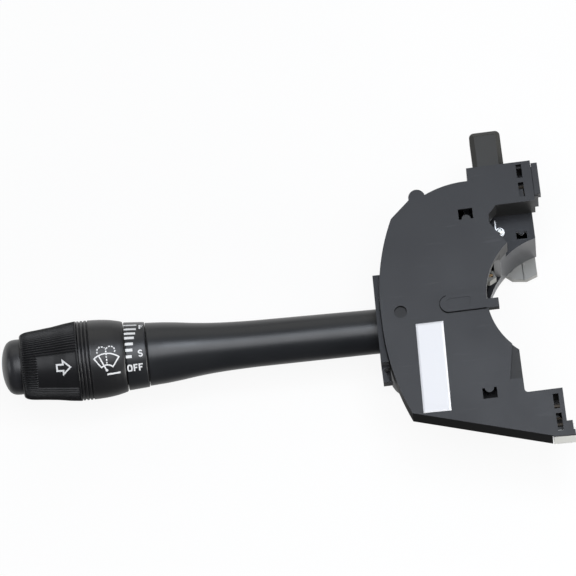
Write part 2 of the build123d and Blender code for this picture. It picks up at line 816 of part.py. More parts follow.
def switch_core():
    core = turned(
        [
            (core_start, 0),
            (core_start, core_radius - 0.4),
            (core_start + 0.5, core_radius),
            (ring_end + 0.1, core_radius),
            (ring_end + 0.1, head_radius),
            (head_end, head_radius),
            (head_end, spindle_radius),
            (spindle_end, spindle_radius),
            (spindle_end, 0),
        ]
    )
    core -= reach(collar_end + 0.2, spindle_end + 1, spindle_bore)
    # groove of the clip, bore of the click ball, sockets of the stalk's wires
    core -= sleeve(spindle_end - 2.3, spindle_end - 1.45, spindle_radius - 0.8, spindle_radius + 1)
    from_middle = (Align.CENTER, Align.CENTER, Align.MIN)
    core -= Pos(-ball_q, 0, 8.0) * Cylinder(ball_radius + run_clearance, 12, align=from_middle)
    for y, z in wire_places():
        core -= Pos(0, y, z) * reach(core_start - 0.5, core_start + 3.5, wire_radius)
    return core


def wire_places():
    turns = [math.radians(angle) for angle in (90, 210, 330)]
    return [(1.5 * math.cos(turn), 1.5 * math.sin(turn)) for turn in turns]


def stalk_wires():
    wire = reach(tube_start + 3.5, core_start + 3.1, wire_radius)
    return Compound(children=[Pos(0, y, z) * wire for y, z in wire_places()])


def wiper_board():
    return sleeve(head_end, head_end + wiper_board_thickness, spindle_radius, head_radius - 0.8)


def click_ball():
    return Pos(-ball_q, 0, collar_bore - ball_radius - 0.15) * Sphere(ball_radius)


def click_spring():
    top = collar_bore - 2 * ball_radius - 0.2
    return Pos(-ball_q, 0, 0) * coil(0.85, 0.3, 2, 8.1, top)


def knob_clip():
    clip = sleeve(spindle_end - 2.2, spindle_end - 1.6, spindle_radius - 0.75, spindle_radius + 2.2)
    return clip - box(-spindle_end, 3.4 - spindle_end, -9, 0, -2.6, 2.6)


def washer_contact():
    return reach(collar_end + 0.2, collar_end + 0.8, spindle_bore)


# Wiper knob


def knob_collar():
    start, end = collar_start, collar_end
    rim = tube_end_radius + 3.25
    outer = [(start, rim - 1.95), (start + 1.4, rim - 1.65)]
    outer += [(start + 5, rim - 0.75), (start + 10, rim - 0.15)]
    # three ring grooves beside the grip
    for k in range(3):
        q = end - 5.0 + 1.6 * k
        outer += [(q, rim), (q + 0.55, rim - 0.6), (q + 1.1, rim + 0.05)]
    outer += [(end, rim + 0.1)]
    web_end = web_start + web_thickness
    inner = [(end, rim - 2.05), (web_end, rim - 2.25), (web_end, collar_bore), (start, collar_bore)]
    collar = turned(outer + inner)
    collar += sleeve(web_start, web_end, spindle_radius + 0.2, rim - 2.15)
    collar += sleeve(web_start, end - 1.8, spindle_radius + 0.2, spindle_radius + 2.6)
    collar -= reach(web_start - 1, end + 1, spindle_radius + run_clearance)
    # click grooves for the ball, one for each wiper position
    groove = Pos(0, 0, collar_bore) * reach(ball_q - 1.1, ball_q + 1.1, 0.8)
    for stop in knob_stops:
        collar -= Rot(stop, 0, 0) * groove
    return collar


def rotor_contact():
    board_end = head_end + wiper_board_thickness
    ring = sleeve(web_start - 0.6, web_start, 8.0, 11.0)
    for angle in (60, 180, 300):
        finger = box(0.5 - web_start, -board_end - 0.2, -1.0, 1.0, 8.8, 10.2)
        ring += Rot(angle, 0, 0) * finger
    return ring


def grip_section(q, radius, panel):
    # a toothed outline; the panel between its two angles is smooth
    points = []
    for i in range(2 * rib_count):
        angle = 180 * i / rib_count
        turn = (angle + 180) % 360 - 180
        flat = panel and panel_from < turn < panel_to
        r = radius if i % 2 or flat else radius - rib_depth
        points.append((r * math.sin(math.radians(angle)), r * math.cos(math.radians(angle))))
    return Location((-q, 0, 0), (0, 90, 0)) * Rot(0, 0, 90) * outline(*points)


def wiper_grip():
    start, end = grip_start, grip_end
    rim = tube_end_radius + 3.5
    panel_end = start + panel_length
    stations = [
        (start, rim, True),
        (panel_end - 0.3, rim - 2.35, True),
        (panel_end + 0.3, rim - 2.4, False),
        (end - 3.0, rim - 2.75, False),
        (end, rim - 4.0, False),
    ]
    grip = loft([grip_section(*station) for station in stations], ruled=True)
    pocket = spindle_end - 3.0
    cone = [(start - 1, 0), (start - 1, rim - 2.15), (start + 1.7, rim - 2.15), (pocket - 2.4, rim - 3.9)]
    grip -= turned(cone + [(pocket - 2.4, 0)])
    grip -= reach(pocket, end + 4, button_radius + run_clearance)
    # hub on the spindle, tongue into the collar and the seat against it
    grip += sleeve(pocket - 6.4, pocket - 2.0, spindle_radius + 0.4, spindle_radius + 2.6)
    grip -= reach(pocket - 7.4, pocket + 1, spindle_radius + run_clearance)
    grip += sleeve(collar_end - 1.6, collar_end, rim - 4.1, rim - 2.4)
    grip += turned(
        [
            (collar_end - 0.3, rim - 4.1),
            (collar_end - 0.3, rim - 2.4),
            (collar_end + 2.4, rim - 2.1),
            (collar_end + 2.4, rim - 4.1),
        ]
    )
    return grip + sleeve(collar_end, start + 0.1, rim - 2.9, rim - 0.3)


def washer_button():
    skirt = spindle_end - 3.0 + button_travel + seat_gap
    inner_face = button_tip - 3.9
    edge = button_radius
    cap = turned(
        [
            (skirt, button_skirt),
            (skirt, edge),
            (button_tip - 6.9, edge),
            (button_tip - 4.3, edge - 0.4),
            (button_tip - 2.3, edge - 1.5),
            (button_tip - 0.9, edge - 3.3),
            (button_tip - 0.2, edge - 6.1),
            (button_tip, 0),
            (inner_face, 0),
            (inner_face, button_skirt),
        ]
    )
    # stem that meets the washer contact when the button is pressed
    stem_start = collar_end + 0.8 + button_travel + seat_gap
    return cap + reach(stem_start, inner_face + 0.5, spindle_bore - 0.6)


def washer_spring():
    # pressed length, between the grip's pocket and the button at its inner stop
    pocket = spindle_end - 3.0
    length = button_tip - 3.9 - button_travel - pocket
    spring = coil(spindle_radius + 3.6, 0.7, 3, 0.2, length - 0.5)
    return Pos(-pocket, 0, 0) * Rot(0, -90, 0) * spring


# Hazard switch


def hazard_button():
    w, d = hazard_width / 2, hazard_depth / 2
    bevel = hazard_bevel
    face = outline((-w, -d), (w, -d), (w, d - bevel), (w - bevel, d), (bevel - w, d), (-w, d - bevel))
    low = Location((hazard_x, slide_front, hazard_z), (90, 0, 0)) * mirror(face, Plane.XZ)
    button = extrude(low, slide_front - block_head - hazard_stand)
    button = fillet(button.edges().filter_by(Axis.Z).group_by(Axis.Y)[-1], 2.6)
    # the front edge at the tip is bevelled as both sides are
    side = bevel * math.sqrt(2)
    front_edge = Pos(hazard_x, block_head + hazard_stand, hazard_high) * Rot(45, 0, 0)
    button -= front_edge * Box(hazard_width + 1, side, side)
    return button - hazard_bore()


def hazard_bore():
    depth = slide_length + 6.4
    middle = slide_front - slide_length - 1.3 + depth / 2
    return Location((hazard_x, middle, hazard_z), (90, 0, 0)) * Cylinder(hazard_bore_radius, depth)


def hazard_slide():
    left, right = hazard_x - 7.2, hazard_x + 5.6
    low, high = hazard_low - 0.7, hazard_high - 0.5
    back = slide_front - slide_length
    slide = box(left, right, back, slide_front, low, high)
    for x0, x1 in ((left - 1, left + 1.2), (right - 1.2, right + 1)):
        slide -= box(x0, x1, back - 1, slide_front + 1, hazard_z - 2.6, hazard_z + 2.4)
    return slide - hazard_bore()


def hazard_spring():
    # pressed length, between the block's wall and the button's bore at the inner stop
    start = block_bottom + wall
    bore_end = slide_front - 1.3 + 6.4
    length = bore_end - hazard_travel - start
    spring = coil(1.95, 0.5, 3, 0.3, length - 0.5)
    return Location((hazard_x, start, hazard_z), (-90, 0, 0)) * spring


def hazard_contact():
    low = hazard_low - 0.7
    left, right = hazard_x - 4.7, hazard_x + 4.7
    back = slide_front - slide_length
    bridge = box(left, right, back + 0.6, back + 2.4, low - 0.4, low)
    return bridge + box(left, right, back + 3.6, back + 5.4, low - 0.4, low)


def hazard_fixed_contacts():
    low = block_low + lid_thickness
    first, last = block_bottom + wall + 1.2, slide_front + 0.8
    strips = []
    for x in (hazard_x - 3.2, hazard_x, hazard_x + 3.2):
        strips.append(box(x - 0.9, x + 0.9, first, last, low, low + 0.5))
    return Compound(children=strips)


lever_place = at_pivot(stalk_z)

housing_parts = {
    "front_cover": front_cover,
    "base_housing": base_housing,
    "rear_plate": rear_plate,
    "mounting_inserts": mounting_inserts,
    "housing_screws": housing_screws,
    "block_back_cover": block_back_cover,
    "arm_back_cover": arm_back_cover,
    "upper_connector": upper_connector,
    "lower_connector": lower_connector,
    "contact_board": contact_board,
    "turn_fixed_contacts": turn_fixed_contacts,
    "beam_fixed_contact": beam_strip,
    "turn_carrier": turn_carrier,
    "cross_pin": cross_pin,
    "detent_plunger": detent_plunger,
    "detent_spring": detent_spring,
    "detent_block": detent_block,
    "turn_slider": turn_slider,
    "turn_contacts": turn_contacts,
    "beam_plunger": beam_plunger,
    "beam_contact": beam_contact,
    "beam_return_spring": beam_return_spring,
    "cancel_pawl": cancel_pawl,
    "pawl_contact": pawl_contact,
    "pawl_pin": pawl_pin,
    "pawl_spring": pawl_spring,
    "anchor_pin": anchor_pin,
    "anchor_wire": anchor_wire,
    "hazard_button": hazard_button,
    "hazard_slide": hazard_slide,
    "hazard_spring": hazard_spring,
    "hazard_contact": hazard_contact,
    "hazard_fixed_contacts": hazard_fixed_contacts,
}

stalk_parts = {
    "stalk_tube": stalk_tube,
    "lever_tail": lever_tail,
    "scale_ring": scale_ring,
    "switch_core": switch_core,
    "stalk_wires": stalk_wires,
    "wiper_board": wiper_board,
    "click_ball": click_ball,
    "click_spring": click_spring,
    "knob_clip": knob_clip,
    "washer_contact": washer_contact,
    "knob_collar": knob_collar,
    "rotor_contact": rotor_contact,
    "wiper_grip": wiper_grip,
    "washer_button": washer_button,
    "washer_spring": washer_spring,
}

for name, make in housing_parts.items():
    save(make(), name)

for name, make in stalk_parts.items():
    save(lever_place * make(), name)

upper_blades = terminals(upper_pins_y, upper_pins_z, upper_pin_start, upper_pin_tip)
lower_blades = terminals(lower_pins_y, lower_pins_z, lower_pin_start, lower_pin_tip)
save(upper_blades, "upper_terminals")
save(lower_blades, "lower_terminals")
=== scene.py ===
import bpy
import bmesh
import json
import math
import numpy as np
from mathutils import Matrix, Vector


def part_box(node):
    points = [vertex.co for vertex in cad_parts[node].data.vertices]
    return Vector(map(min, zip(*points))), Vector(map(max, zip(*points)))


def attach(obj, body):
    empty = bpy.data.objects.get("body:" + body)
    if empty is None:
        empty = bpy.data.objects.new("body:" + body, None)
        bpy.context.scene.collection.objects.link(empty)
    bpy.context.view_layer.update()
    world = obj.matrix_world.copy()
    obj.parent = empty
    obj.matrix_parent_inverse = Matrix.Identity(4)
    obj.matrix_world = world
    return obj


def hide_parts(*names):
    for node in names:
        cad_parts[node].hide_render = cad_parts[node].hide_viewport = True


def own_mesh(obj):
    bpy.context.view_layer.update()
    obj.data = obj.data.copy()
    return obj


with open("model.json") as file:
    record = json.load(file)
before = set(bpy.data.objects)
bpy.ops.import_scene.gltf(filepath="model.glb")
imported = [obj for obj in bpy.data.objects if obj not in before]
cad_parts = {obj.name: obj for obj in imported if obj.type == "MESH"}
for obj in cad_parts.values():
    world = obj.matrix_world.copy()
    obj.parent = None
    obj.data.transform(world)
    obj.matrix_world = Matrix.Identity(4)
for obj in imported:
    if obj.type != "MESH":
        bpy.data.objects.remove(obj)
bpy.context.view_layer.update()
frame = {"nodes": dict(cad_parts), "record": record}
nodes = frame["nodes"]
mm = 0.001
print("frame loaded:", len(nodes), "nodes")

# the stalk runs from the turn pivot towards -X, turned a little in the plane of the cover
stalk = {"pivot": (-68.8, -0.7, 24.0), "skew": 1.6}


# small tools

def newMesh(name, points, faces, body, slotName, smooth=True):
    # points in mm, as rows of x y z
    mesh = bpy.data.meshes.new(name)
    mesh.from_pydata((np.asarray(points) * mm).tolist(), [], [list(map(int, f)) for f in faces])
    mesh.update()
    if smooth:
        mesh.shade_smooth()
    piece = bpy.data.objects.new(name, mesh)
    bpy.context.scene.collection.objects.link(piece)
    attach(piece, body)
    return piece


def gridFaces(rows, columns, closeRows=False, closeColumns=False):
    # quads between neighbours of a rows x columns grid of points
    i = np.arange(rows if closeRows else rows - 1)[:, None]
    j = np.arange(columns if closeColumns else columns - 1)[None, :]
    a = i * columns + j
    b = i * columns + (j + 1) % columns
    c = ((i + 1) % rows) * columns + (j + 1) % columns
    d = ((i + 1) % rows) * columns + j
    return np.stack([a, b, c, d], axis=-1).reshape(-1, 4)


def toWorld(local):
    # rotates points of the stalk's own frame by the skew and sets them at the pivot, in mm
    turn = math.radians(-stalk["skew"])
    x = local[..., 0] * math.cos(turn) - local[..., 1] * math.sin(turn)
    y = local[..., 0] * math.sin(turn) + local[..., 1] * math.cos(turn)
    return np.stack([x, y, local[..., 2]], axis=-1) + np.array(stalk["pivot"])


def onStalk(q, r, angle):
    # q mm out from the pivot, r mm from the axis, angle from +Z towards +Y in radians
    q, r, angle = np.broadcast_arrays(q, r, angle)
    return toWorld(np.stack([-q, r * np.sin(angle), r * np.cos(angle)], axis=-1))


def recalc(piece, mergeAt=0.0):
    bm = bmesh.new()
    bm.from_mesh(piece.data)
    if mergeAt:
        bmesh.ops.remove_doubles(bm, verts=bm.verts, dist=mergeAt)
    bmesh.ops.recalc_face_normals(bm, faces=bm.faces)
    bm.to_mesh(piece.data)
    bm.free()


def smoothProfile(points, count, rounds):
    # even steps along a broken line of (q, r) points, then rounded by a running mean of three
    pts = np.array(points, float)
    run = np.concatenate([[0], np.cumsum(np.hypot(*np.diff(pts, axis=0).T))])
    at = np.linspace(0, run[-1], count)
    q, r = np.interp(at, run, pts[:, 0]), np.interp(at, run, pts[:, 1])
    for _ in range(rounds):
        q[1:-1] = (q[:-2] + q[1:-1] + q[2:]) / 3
        r[1:-1] = (r[:-2] + r[1:-1] + r[2:]) / 3
    return q, r


def spun(name, q, r, body, slotName, steps=144):
    # surface of revolution: every (q, r) of the profile goes round the stalk's axis
    angle = np.linspace(0, 2 * math.pi, steps, endpoint=False)
    pts = onStalk(np.asarray(q)[:, None], np.asarray(r)[:, None], angle[None, :])
    faces = gridFaces(len(q), steps, closeRows=True, closeColumns=True)
    piece = newMesh(name, pts.reshape(-1, 3), faces, body, slotName)
    recalc(piece, 1e-6)
    return piece


def rectangle(x0, x1, y0, y1):
    return [(x0, y0), (x1, y0), (x1, y1), (x0, y1)]


def arcPoints(radius, start, stop, count, cx=0.0, cy=0.0):
    a = np.radians(np.linspace(start, stop, count))
    return [(cx + radius * math.cos(t), cy + radius * math.sin(t)) for t in a]


def prismPoints(corners, low, high):
    # flat outline carried from one level to the other, both ends closed
    ring = np.array(corners, float)
    n = len(ring)
    pts = np.concatenate([np.column_stack([ring, np.full(n, level)]) for level in (low, high)])
    sides = [[i, (i + 1) % n, n + (i + 1) % n, n + i] for i in range(n)]
    return pts, sides + [list(range(n))[::-1], list(range(n, 2 * n))]


def carve(piece, cuts):
    # takes prisms (outline, low, high) out of a merged copy, one exact cut for each
    for corners, low, high in cuts:
        pts, faces = prismPoints(corners, low, high)
        mesh = bpy.data.meshes.new("cutter")
        mesh.from_pydata((pts * mm).tolist(), [], faces)
        cutter = bpy.data.objects.new("cutter", mesh)
        bpy.context.scene.collection.objects.link(cutter)
        recalc(cutter)
        take = piece.modifiers.new("take", "BOOLEAN")
        take.operation, take.solver, take.object = "DIFFERENCE", "EXACT", cutter
        view = bpy.context.evaluated_depsgraph_get()
        cut = bpy.data.meshes.new_from_object(piece.evaluated_get(view))
        piece.modifiers.clear()
        piece.data = cut
        bpy.data.objects.remove(cutter)


def roundEdges(piece, width, limit=32):
    # rounds every edge sharper than the limit in degrees, flat faces stay flat to the eye
    bevel = piece.modifiers.new("roundEdges", "BEVEL")
    bevel.width = width * mm
    bevel.segments = 2
    bevel.limit_method = "ANGLE"
    bevel.angle_limit = math.radians(limit)
    piece.modifiers.new("evenShade", "WEIGHTED_NORMAL").keep_sharp = False


def softened(nodeName, body, width, cuts=()):
    # a merged copy of a CAD node, cut where asked and with its edges rounded
    piece = bpy.data.objects.new(nodeName + "Soft", nodes[nodeName].data.copy())
    bpy.context.scene.collection.objects.link(piece)
    bm = bmesh.new()
    bm.from_mesh(piece.data)
    bmesh.ops.remove_doubles(bm, verts=bm.verts, dist=2e-6)
    bmesh.ops.dissolve_limit(bm, angle_limit=math.radians(1.0), verts=bm.verts, edges=bm.edges)
    bm.to_mesh(piece.data)
    bm.free()
    carve(piece, cuts)
    piece.data.shade_smooth()
    roundEdges(piece, width)
    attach(piece, body)
    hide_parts(nodeName)
    return piece


# materials

def groupTree(name, inputs, outputs):
    tree = bpy.data.node_groups.new(name, "ShaderNodeTree")
    for label, kind, value in inputs:
        socket = tree.interface.new_socket(label, in_out="INPUT", socket_type=kind)
        if value is not None:
            socket.default_value = value
    for label, kind in outputs:
        tree.interface.new_socket(label, in_out="OUTPUT", socket_type=kind)
    return tree, tree.nodes.new("NodeGroupInput"), tree.nodes.new("NodeGroupOutput")


def addNode(tree, kind, **settings):
    node = tree.nodes.new(kind)
    for key, value in settings.items():
        setattr(node, key, value)
    return node


def grainGroup():
    # moulded grain: cells and fine noise for the bump, broad noise for colour and gloss
    tree, gin, gout = groupTree(
        "mouldedGrain",
        [("Cell Scale", "NodeSocketFloat", 2600.0), ("Cloud Scale", "NodeSocketFloat", 28.0),
         ("Dark", "NodeSocketColor", None), ("Light", "NodeSocketColor", None),
         ("Rough Low", "NodeSocketFloat", 0.45), ("Rough High", "NodeSocketFloat", 0.6)],
        [("Color", "NodeSocketColor"), ("Roughness", "NodeSocketFloat"), ("Height", "NodeSocketFloat")],
    )
    coord = addNode(tree, "ShaderNodeTexCoord")
    cells = addNode(tree, "ShaderNodeTexVoronoi", feature="SMOOTH_F1")
    fine = addNode(tree, "ShaderNodeTexNoise")
    cloud = addNode(tree, "ShaderNodeTexNoise")
    fine.inputs["Scale"].default_value = 5200
    fine.inputs["Detail"].default_value = 3
    cloud.inputs["Detail"].default_value = 5
    cloud.inputs["Roughness"].default_value = 0.62
    for n in (cells, fine, cloud):
        tree.links.new(coord.outputs["Object"], n.inputs["Vector"])
    tree.links.new(gin.outputs["Cell Scale"], cells.inputs["Scale"])
    tree.links.new(gin.outputs["Cloud Scale"], cloud.inputs["Scale"])
    mix = addNode(tree, "ShaderNodeMix", data_type="RGBA")
    tree.links.new(cloud.outputs["Fac"], mix.inputs["Factor"])
    tree.links.new(gin.outputs["Dark"], mix.inputs["A"])
    tree.links.new(gin.outputs["Light"], mix.inputs["B"])
    tree.links.new(mix.outputs["Result"], gout.inputs["Color"])
    ramp = addNode(tree, "ShaderNodeMapRange")
    ramp.inputs["From Min"].default_value = 0.3
    ramp.inputs["From Max"].default_value = 0.7
    tree.links.new(cloud.outputs["Fac"], ramp.inputs["Value"])
    tree.links.new(gin.outputs["Rough Low"], ramp.inputs["To Min"])
    tree.links.new(gin.outputs["Rough High"], ramp.inputs["To Max"])
    tree.links.new(ramp.outputs["Result"], gout.inputs["Roughness"])
    add = addNode(tree, "ShaderNodeMath", operation="MULTIPLY_ADD")
    add.inputs[1].default_value = 0.5
    tree.links.new(fine.outputs["Fac"], add.inputs[0])
    tree.links.new(cells.outputs["Distance"], add.inputs[2])
    tree.links.new(add.outputs["Value"], gout.inputs["Height"])
    return tree


def scuffGroup():
    # short pale rubs: stretched noise cut high, so that only thin streaks are left
    tree, gin, gout = groupTree(
        "scuffs",
        [("Color", "NodeSocketColor", None), ("Scuff", "NodeSocketColor", None),
         ("Amount", "NodeSocketFloat", 0.3), ("Cut", "NodeSocketFloat", 0.64)],
        [("Color", "NodeSocketColor"), ("Mask", "NodeSocketFloat")],
    )
    coord = addNode(tree, "ShaderNodeTexCoord")
    place = addNode(tree, "ShaderNodeMapping")
    place.inputs["Scale"].default_value = (60, 420, 60)
    place.inputs["Rotation"].default_value = (0.2, 0.1, 0.6)
    noise = addNode(tree, "ShaderNodeTexNoise")
    noise.inputs["Scale"].default_value = 1.0
    noise.inputs["Detail"].default_value = 4
    cut = addNode(tree, "ShaderNodeMapRange")
    cut.inputs["From Max"].default_value = 0.8
    scale = addNode(tree, "ShaderNodeMath", operation="MULTIPLY")
    mix = addNode(tree, "ShaderNodeMix", data_type="RGBA")
    tree.links.new(coord.outputs["Object"], place.inputs["Vector"])
    tree.links.new(place.outputs["Vector"], noise.inputs["Vector"])
    tree.links.new(noise.outputs["Fac"], cut.inputs["Value"])
    tree.links.new(gin.outputs["Cut"], cut.inputs["From Min"])
    tree.links.new(cut.outputs["Result"], scale.inputs[0])
    tree.links.new(gin.outputs["Amount"], scale.inputs[1])
    tree.links.new(scale.outputs["Value"], mix.inputs["Factor"])
    tree.links.new(gin.outputs["Color"], mix.inputs["A"])
    tree.links.new(gin.outputs["Scuff"], mix.inputs["B"])
    tree.links.new(mix.outputs["Result"], gout.inputs["Color"])
    tree.links.new(scale.outputs["Value"], gout.inputs["Mask"])
    return tree


mouldedGrain = grainGroup()
scuffs = scuffGroup()


grainReach = 0.06  # mm from the bottom of the grain to its top


def finish(name, dark, light, rough, cell=2600, cloud=28, bump=0.15, metal=0.0, scuff=None,
           scuffAmount=0.25, paintedSplitColour=None, paintedSplitAt=("Y", "GREATER_THAN", 0.0), haze=0.0, gloss=0.5):
    # one finish: grain, then scuffs, into a Principled shader; a second colour can be given to what lies past
    # a level in mm, which paints light or shade
    mat = bpy.data.materials.new(name)
    mat.use_nodes = True
    tree = mat.node_tree
    shader = tree.nodes["Principled BSDF"]
    shader.inputs["Metallic"].default_value = metal
    shader.inputs["Sheen Weight"].default_value = haze
    shader.inputs["Sheen Roughness"].default_value = 0.35
    shader.inputs["Specular IOR Level"].default_value = gloss
    grain = addNode(tree, "ShaderNodeGroup", node_tree=mouldedGrain)
    grain.inputs["Cell Scale"].default_value = cell
    grain.inputs["Cloud Scale"].default_value = cloud
    grain.inputs["Dark"].default_value = (*dark, 1)
    grain.inputs["Light"].default_value = (*light, 1)
    grain.inputs["Rough Low"].default_value = rough[0]
    grain.inputs["Rough High"].default_value = rough[1]
    colour = grain.outputs["Color"]
    if scuff:
        rub = addNode(tree, "ShaderNodeGroup", node_tree=scuffs)
        rub.inputs["Scuff"].default_value = (*scuff, 1)
        rub.inputs["Amount"].default_value = scuffAmount
        tree.links.new(colour, rub.inputs["Color"])
        colour = rub.outputs["Color"]
    # painted light or shade: the split at the level stands for how light falls on the piece
    if paintedSplitColour:
        coord = addNode(tree, "ShaderNodeTexCoord")
        split = addNode(tree, "ShaderNodeSeparateXYZ")
        above = addNode(tree, "ShaderNodeMath", operation=paintedSplitAt[1])
        above.inputs[1].default_value = paintedSplitAt[2] * mm
        darken = addNode(tree, "ShaderNodeMix", data_type="RGBA")
        darken.inputs["B"].default_value = (*paintedSplitColour, 1)
        tree.links.new(coord.outputs["Object"], split.inputs["Vector"])
        tree.links.new(split.outputs[paintedSplitAt[0]], above.inputs[0])
        tree.links.new(above.outputs["Value"], darken.inputs["Factor"])
        tree.links.new(colour, darken.inputs["A"])
        colour = darken.outputs["Result"]
    tree.links.new(colour, shader.inputs["Base Color"])
    tree.links.new(grain.outputs["Roughness"], shader.inputs["Roughness"])
    bumpNode = addNode(tree, "ShaderNodeBump")
    bumpNode.inputs["Strength"].default_value = bump
    bumpNode.inputs["Distance"].default_value = grainReach * mm
    tree.links.new(grain.outputs["Height"], bumpNode.inputs["Height"])
    tree.links.new(bumpNode.outputs["Normal"], shader.inputs["Normal"])
    return mat


finishes = {
    "cover_black": finish("coverBlack", (0.015, 0.016, 0.018), (0.026, 0.027, 0.031), (0.42, 0.54),
                          scuff=(0.12, 0.12, 0.13), scuffAmount=0.18, bump=0.22, gloss=0.33),
    "base_grey": finish("baseBlack", (0.007, 0.008, 0.011), (0.014, 0.015, 0.018), (0.30, 0.40),
                        scuff=(0.13, 0.13, 0.13), scuffAmount=0.12, bump=0.1, haze=0.3, gloss=0.22),
    "stalk_black": finish("stalkSatin", (0.011, 0.012, 0.014), (0.017, 0.018, 0.020), (0.31, 0.40),
                          cell=3800, bump=0.06, scuff=(0.08, 0.08, 0.08), scuffAmount=0.10),
    "knob_black": finish("knobSatin", (0.008, 0.008, 0.009), (0.013, 0.013, 0.014), (0.33, 0.43),
                         cell=3600, bump=0.08, scuff=(0.08, 0.08, 0.08), scuffAmount=0.12),
    "button_grey": finish("buttonGrey", (0.016, 0.016, 0.014), (0.024, 0.023, 0.020), (0.42, 0.52),
                          bump=0.12, gloss=0.4, scuff=(0.16, 0.16, 0.15), scuffAmount=0.15),
    # painted light: the near-white colour stands for the glare on the connector's end facet; past y -60.2 mm
    # the connector keeps its dark plastic colour
    "connector_white": finish("connectorPaintedWhiteEnd", (0.84, 0.84, 0.81), (0.90, 0.90, 0.87), (0.42, 0.55),
                              bump=0.05, paintedSplitColour=(0.012, 0.012, 0.013),
                              paintedSplitAt=("Y", "GREATER_THAN", -60.2)),
    # painted shade: natural nylon given a mid grey for the shade of the cavity the pawl sits in
    "nylon_natural": finish("pawlNylonPaintedShade", (0.15, 0.15, 0.14), (0.21, 0.21, 0.19), (0.38, 0.5), bump=0.04),
    "board_brown": finish("paperBoard", (0.13, 0.07, 0.035), (0.20, 0.12, 0.06), (0.5, 0.6), cloud=120,
                          bump=0.08),
    # partly painted shade: brass, but darker than bare brass for the shade of the cavities it sits in
    "contact_brass": finish("contactBrassPaintedShade", (0.30, 0.19, 0.10), (0.42, 0.29, 0.16), (0.34, 0.48), metal=1.0,
                            cloud=160, bump=0.03),
    "pin_steel": finish("pinSteel", (0.26, 0.26, 0.24), (0.42, 0.42, 0.40), (0.24, 0.38), metal=1.0,
                        bump=0.02),
    "spring_steel": finish("springWire", (0.38, 0.38, 0.38), (0.52, 0.52, 0.52), (0.28, 0.4), metal=1.0,
                           bump=0.02),
    "zinc_steel": finish("zincPlate", (0.50, 0.51, 0.50), (0.66, 0.66, 0.64), (0.32, 0.45), metal=1.0,
                         cloud=220, bump=0.04),
    "wire_black": finish("wireCover", (0.02, 0.02, 0.02), (0.03, 0.03, 0.03), (0.5, 0.6), bump=0.03),
}
# painted shade: below 49.3 mm the cover's walls, lower facets and the arm's lower wall get a near-black
# colour where shade falls
coverPaintedShadeFinish = finish("coverPaintedShade", (0.014, 0.015, 0.017), (0.024, 0.025, 0.029), (0.40, 0.52), gloss=0.33,
                       scuff=(0.12, 0.12, 0.13), scuffAmount=0.12, bump=0.22, paintedSplitColour=(0.006, 0.006, 0.006),
                       paintedSplitAt=("Z", "LESS_THAN", 49.3))
gripSatin = finish("gripSatin", (0.007, 0.007, 0.008), (0.012, 0.012, 0.013), (0.36, 0.46), bump=0.01,
                   gloss=0.36)
# painted shade: terminals seen through the slots get a dark brass for the shade of their pockets
paintedShadeBrass = finish("shadedTerminals", (0.05, 0.04, 0.03), (0.09, 0.07, 0.05), (0.5, 0.65), cloud=160,
                   bump=0.03)
# painted light: a lighter, bluish copy of the knob's black for the light on the washer cap
capPaintedLightSatin = finish("capPaintedLightSatin", (0.018, 0.018, 0.020), (0.027, 0.027, 0.030), (0.36, 0.46), cell=3600,
                  bump=0.06)
stickerWhite = finish("stickerPaper", (0.68, 0.68, 0.70), (0.72, 0.72, 0.74), (0.45, 0.55), cell=900,
                      bump=0.02)
# painted light: a lighter grey than the black housing, so that the foot shows as bright as the lit concave
# wall beside it
rearPaintedLightGrey = finish("rearPaintedLightGrey", (0.21, 0.21, 0.20), (0.29, 0.29, 0.28), (0.42, 0.55), scuff=(0.4, 0.4, 0.4),
                  bump=0.1)
printWhite = finish("printWhite", (0.66, 0.66, 0.66), (0.76, 0.76, 0.76), (0.5, 0.6), bump=0.02)

slotOf = {s["node"]: s["material_slot"] for s in frame["record"]["subparts"]}
for nodeName, node in nodes.items():
    for place in node.material_slots:
        place.material = paintedShadeBrass if "_terminals" in nodeName else finishes[slotOf[nodeName]]
print("finishes set:", len(finishes))


def dress(piece, material):
    piece.data.materials.clear()
    piece.data.materials.append(material)
    return piece


# housing pieces with rounded edges

softEdges = {
    "front_cover": ("housing", "cover_black", 0.35),
    "base_housing": ("housing", "base_grey", 0.3),
    "rear_plate": ("housing", "base_grey", 0.35),
    "upper_connector": ("housing", "cover_black", 0.25),
    "lower_connector": ("housing", "connector_white", 0.25),
    "cancel_pawl": ("cancel_pawl", "nylon_natural", 0.3),
}
barArc = arcPoints(4.15, 100, 270, 24, cx=-47.7) + arcPoints(3.65, 100, 270, 24, cx=-47.7)[::-1]
dimple = arcPoints(2.3, 90, 270, 13, cx=-46.6)
carved = {
    # outline, low and high of each cut, in mm
    # groove round the raised bar and its shallow dimple, mouth of the lower latch slot
    "front_cover": [(barArc, 49.1, 52), (rectangle(-47.72, -31.6, -4.15, -3.65), 49.1, 52),
                    (rectangle(-47.72, -34.0, 3.68, 3.95), 50.2, 52),
                    (dimple + [(-38.6, -2.3), (-38.0, -1.7), (-38.0, 1.7), (-38.6, 2.3)], 50.5, 52),
                    (rectangle(-7.85, -5.45, -62.7, -57.5), 48.0, 52)],
    # pockets under the latch slots
    "upper_connector": [(rectangle(-11.3, -8.5, 52.7, 57.9), 38, 49),
                        (rectangle(-11.3, -8.5, 48.4, 51.0), 38, 49),
                        (rectangle(-9.2, -8.5, 44.2, 49.0), 38, 49)],
    "lower_connector": [(rectangle(-8.4, -5.5, -52.9, -45.8), 40, 49),
                        (rectangle(-8.1, -5.2, -62.6, -54.6), 42, 49)],
    # seam and slot of the foot
    "rear_plate": [(rectangle(-13.2, -12.7, 20.4, 28.6), 2.6, 5),
                   ([(-19.5, 25.0), (-18.6, 24.6), (-15.0, 27.4), (-15.4, 28.2)], 0.9, 5)],
}
